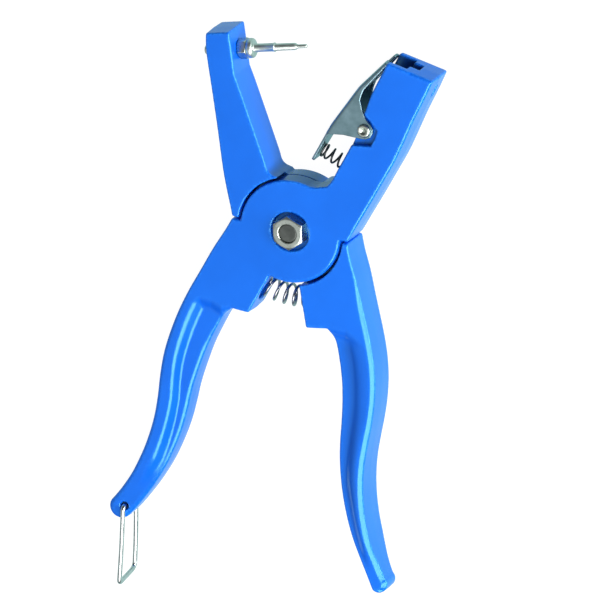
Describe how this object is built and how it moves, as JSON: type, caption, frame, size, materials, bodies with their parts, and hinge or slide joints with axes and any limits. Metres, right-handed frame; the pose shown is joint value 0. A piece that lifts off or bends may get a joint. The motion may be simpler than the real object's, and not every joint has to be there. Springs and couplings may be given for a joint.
{
  "type": "ear tag applicator pliers",
  "caption": "Cast two-lever pliers that press a livestock ear tag together: pin on one jaw, tag channel and sprung clip on the other, sprung handles, wire bail.",
  "frame": {"origin": "on the pivot axis, in the plane of the castings' back faces, on the flush face of the bolt head", "axes": "+Z along the pivot axis out of the front faces, +Y towards the jaws, +X towards the jaw with the tag channel"},
  "size_m": [0.1601, 0.2477, 0.021],
  "materials": {
    "blue_paint": "glossy blue powder coat on cast aluminium",
    "bolt_steel": "dark oiled steel",
    "nut_zinc": "bright zinc plate",
    "spring_steel": "plated spring wire",
    "pin_steel": "turned and plated steel",
    "clip_zinc": "zinc-plated sheet with a faint green-blue tint",
    "rivet_steel": "zinc-plated, dull",
    "dark_spring": "dark oiled spring wire",
    "bail_wire": "zinc-plated wire"
  },
  "bodies": {
    "lever_a": {"lever_a": "blue_paint", "pivot_bolt": "bolt_steel", "pivot_nut": "nut_zinc", "clip_rivet": "rivet_steel", "return_spring": "spring_steel", "clip_spring": "dark_spring"},
    "lever_b": {"lever_b": "blue_paint", "applicator_pin": "pin_steel", "pin_lock_nut": "nut_zinc"},
    "clip": {"clip": "clip_zinc"},
    "bail": {"bail": "bail_wire"}
  },
  "joints": [
    {"name": "main_pivot", "type": "hinge", "parent": "lever_a", "child": "lever_b", "pos_m": [0, 0, 0.009], "axis": [0, 0, -1], "range_deg": [0, 32], "stiffness_Nm_per_rad": 1.2, "springref_deg": -17.19, "deforming": ["return_spring"]},
    {"name": "clip_pivot", "type": "hinge", "parent": "lever_a", "child": "clip", "pos_m": [0.0356, 0.0457, 0.009], "axis": [0, 0, 1], "range_deg": [0, 18], "stiffness_Nm_per_rad": 0.05, "springref_deg": -22.92, "deforming": ["clip_spring"]},
    {"name": "bail_swing", "type": "hinge", "parent": "lever_a", "child": "bail", "pos_m": [-0.0844, -0.1268, 0.009], "axis": [0, 0, 1], "range_deg": [-110, 36]}
  ]
}
